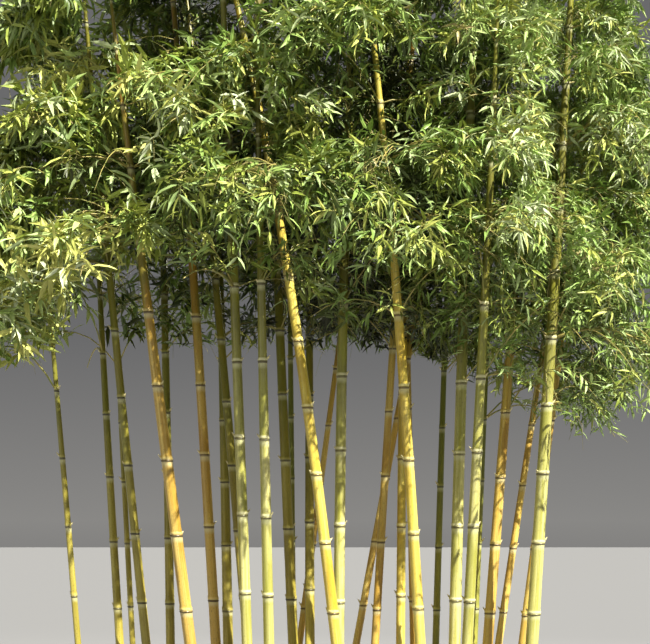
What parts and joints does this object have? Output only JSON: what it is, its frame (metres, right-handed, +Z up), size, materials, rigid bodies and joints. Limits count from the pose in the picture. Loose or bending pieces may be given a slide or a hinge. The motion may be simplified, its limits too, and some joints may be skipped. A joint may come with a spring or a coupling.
{
  "type": "potted clump of bamboo in a long planter",
  "caption": "Tall clump of golden-stemmed bamboo with a full crown of narrow leaves, growing in a plain rectangular trough planter.",
  "frame": {"origin": "centre of the trough's flat underside, which stands on the ground", "axes": "+Z up along the canes, +X along the trough's length to the right seen from the front, +Y from the front to the back"},
  "size_m": [3.1842, 2.2482, 5.8441],
  "materials": {
    "trough": "plain matt grey cast fibre-cement",
    "soil": "dark crumbly potting soil with bark mulch and fallen leaves",
    "culm_olive": "smooth waxy olive-yellow cane with darker mottling",
    "culm_amber": "smooth waxy orange-gold cane, sunburnt on one side",
    "culm_lime": "smooth waxy pale yellow-green cane",
    "culm_gold": "smooth waxy bright yellow cane with a faint green stripe",
    "culm_moss": "smooth waxy dark green cane",
    "foliage": "thin satin bamboo leaves, bright yellow-green in the sun and deep green in the shade, on thin straw-coloured twigs"
  },
  "bodies": {
    "root": {"trough": "trough", "soil": "soil", "culm_01_olive": "culm_olive", "culm_02_olive": "culm_olive", "culm_03_olive": "culm_olive", "culm_04_olive": "culm_olive", "culm_05_amber": "culm_amber", "culm_06_amber": "culm_amber", "culm_07_olive": "culm_olive", "culm_08_lime": "culm_lime", "culm_09_olive": "culm_olive", "culm_10_lime": "culm_lime", "culm_11_olive": "culm_olive", "culm_12_olive": "culm_olive", "culm_13_lime": "culm_lime", "culm_14_gold": "culm_gold", "culm_15_amber": "culm_amber", "culm_16_amber": "culm_amber", "culm_17_gold": "culm_gold", "culm_18_gold": "culm_gold", "culm_19_moss": "culm_moss", "culm_20_lime": "culm_lime", "culm_21_lime": "culm_lime", "culm_22_amber": "culm_amber", "culm_23_amber": "culm_amber", "culm_24_lime": "culm_lime", "leaves_top_01": "foliage", "leaves_top_02": "foliage", "leaves_top_03": "foliage", "leaves_top_04": "foliage", "leaves_top_05": "foliage", "leaves_top_06": "foliage", "leaves_top_07": "foliage", "leaves_top_08": "foliage", "leaves_top_09": "foliage", "leaves_top_10": "foliage", "leaves_top_11": "foliage", "leaves_top_12": "foliage", "leaves_top_13": "foliage", "leaves_top_14": "foliage", "leaves_top_15": "foliage", "leaves_top_16": "foliage", "leaves_top_17": "foliage", "leaves_top_18": "foliage", "leaves_top_19": "foliage", "leaves_top_20": "foliage", "leaves_top_21": "foliage", "leaves_top_22": "foliage", "leaves_top_23": "foliage", "leaves_top_24": "foliage", "leaves_bough_01": "foliage", "leaves_bough_02": "foliage", "leaves_bough_03": "foliage", "leaves_bough_04": "foliage", "leaves_bough_05": "foliage", "leaves_bough_06": "foliage", "leaves_bough_07": "foliage", "leaves_bough_08": "foliage", "leaves_bough_09": "foliage", "leaves_bough_10": "foliage"}
  },
  "joints": []
}
